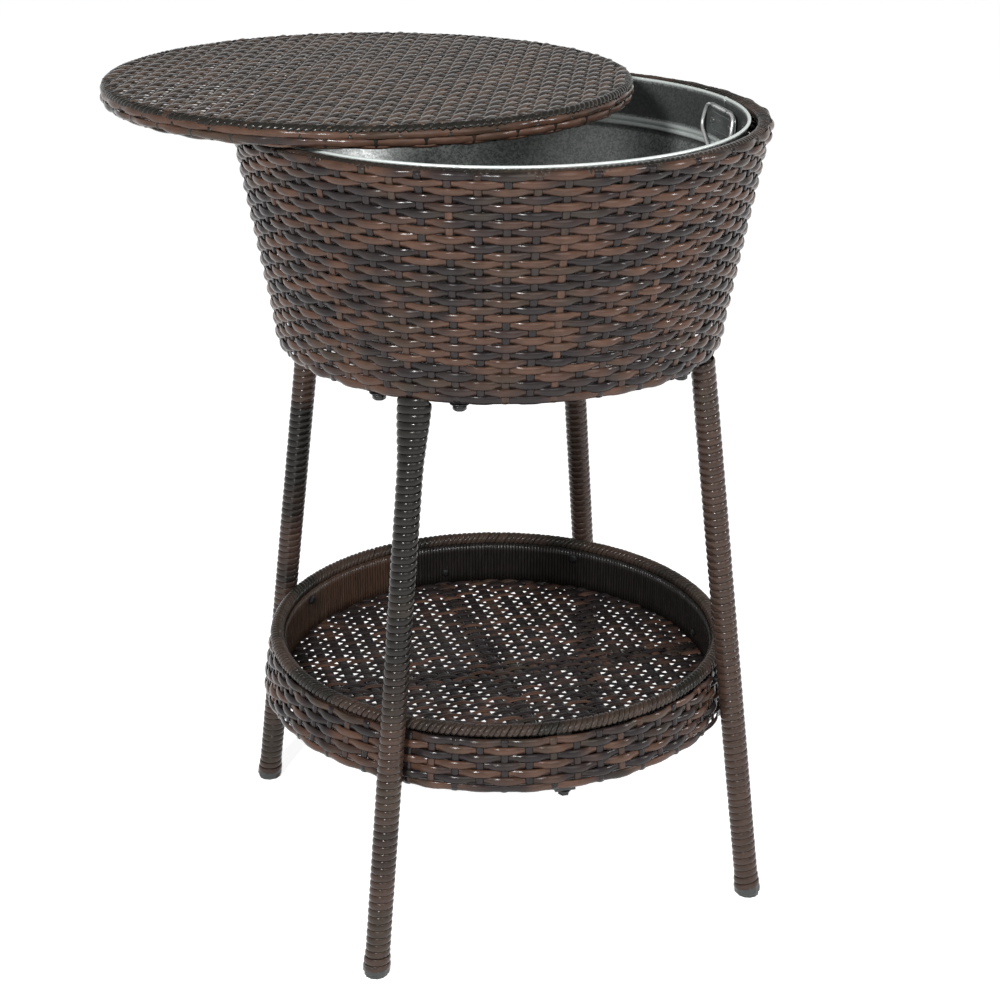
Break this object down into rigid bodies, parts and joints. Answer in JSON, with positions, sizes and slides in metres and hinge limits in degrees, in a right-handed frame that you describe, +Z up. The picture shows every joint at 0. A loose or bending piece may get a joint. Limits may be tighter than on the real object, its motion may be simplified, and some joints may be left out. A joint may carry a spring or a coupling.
{
  "type": "cooler table",
  "caption": "Round wicker cooler table: loose sliding top, lift-out steel tub in a tapered basket, splayed wrapped legs and a low round tray.",
  "frame": {"origin": "centre of the bounding box in plan, at floor height, with the top pushed to the back left as in the picture", "axes": "+Z up, front of the table towards -Y as the picture shows it"},
  "size_m": [0.6484, 0.5912, 0.7994],
  "materials": {
    "wicker": "brown resin strands, charcoal to reddish brown, satin",
    "wicker_dark": "charcoal brown resin strands, satin",
    "black_steel": "black powder coat",
    "black_fastener": "black coated steel, slightly shiny",
    "foot_plastic": "slate grey, matt",
    "galvanised_sheet": "galvanised sheet with a fine spangle",
    "galvanised_trim": "galvanised",
    "handle_wire": "bright zinc-plated wire"
  },
  "bodies": {
    "stand": {"basket_frame": "black_steel", "basket_floor_cross": "black_steel", "basket_weave": "wicker", "basket_rim_binding": "wicker", "leg_frame_1": "black_steel", "leg_wrap_1": "wicker", "foot_cap_1": "foot_plastic", "flange_bolt_1a": "black_fastener", "flange_bolt_1b": "black_fastener", "leg_frame_2": "black_steel", "leg_wrap_2": "wicker", "foot_cap_2": "foot_plastic", "flange_bolt_2a": "black_fastener", "flange_bolt_2b": "black_fastener", "leg_frame_3": "black_steel", "leg_wrap_3": "wicker", "foot_cap_3": "foot_plastic", "flange_bolt_3a": "black_fastener", "flange_bolt_3b": "black_fastener", "leg_frame_4": "black_steel", "leg_wrap_4": "wicker", "foot_cap_4": "foot_plastic", "flange_bolt_4a": "black_fastener", "flange_bolt_4b": "black_fastener", "tray_frame": "black_steel", "tray_floor_bars": "black_steel", "tray_floor_weave": "wicker_dark", "tray_wall_weave": "wicker", "tray_lining": "wicker_dark", "tray_rim_binding": "wicker", "tray_bar_bolt_1": "black_fastener", "tray_leg_bolt_1": "black_fastener", "tray_post_screw_1": "black_fastener", "tray_bar_bolt_2": "black_fastener", "tray_leg_bolt_2": "black_fastener", "tray_post_screw_2": "black_fastener", "tray_bar_bolt_3": "black_fastener", "tray_leg_bolt_3": "black_fastener", "tray_post_screw_3": "black_fastener", "tray_bar_bolt_4": "black_fastener", "tray_leg_bolt_4": "black_fastener", "tray_post_screw_4": "black_fastener"},
    "tub": {"tub": "galvanised_sheet", "handle_plate_1": "galvanised_trim", "handle_plate_2": "galvanised_trim", "handle_rivet_1a": "galvanised_trim", "handle_rivet_1b": "galvanised_trim", "handle_rivet_2a": "galvanised_trim", "handle_rivet_2b": "galvanised_trim"},
    "handle_1": {"tub_handle_1": "handle_wire"},
    "handle_2": {"tub_handle_2": "handle_wire"},
    "top": {"top_frame": "black_steel", "top_weave": "wicker", "top_edge_weave": "wicker"}
  },
  "joints": [
    {"name": "tub_lift", "type": "slide", "parent": "stand", "child": "tub", "axis": [0, 0, 1], "range_m": [0, 0.26]},
    {"name": "top_slide", "type": "slide", "parent": "tub", "child": "top", "axis": [0.8776, -0.4795, 0], "range_m": [-0.06, 0.1436]},
    {"name": "handle_1_swing", "type": "hinge", "parent": "tub", "child": "handle_1", "pos_m": [0.26702, 0.02697, 0.7675], "axis": [-0.2487, 0.9686, 0], "range_deg": [0, 80]},
    {"name": "handle_2_swing", "type": "hinge", "parent": "tub", "child": "handle_2", "pos_m": [-0.15534, -0.08148, 0.7675], "axis": [0.2487, -0.9686, 0], "range_deg": [0, 80]}
  ]
}
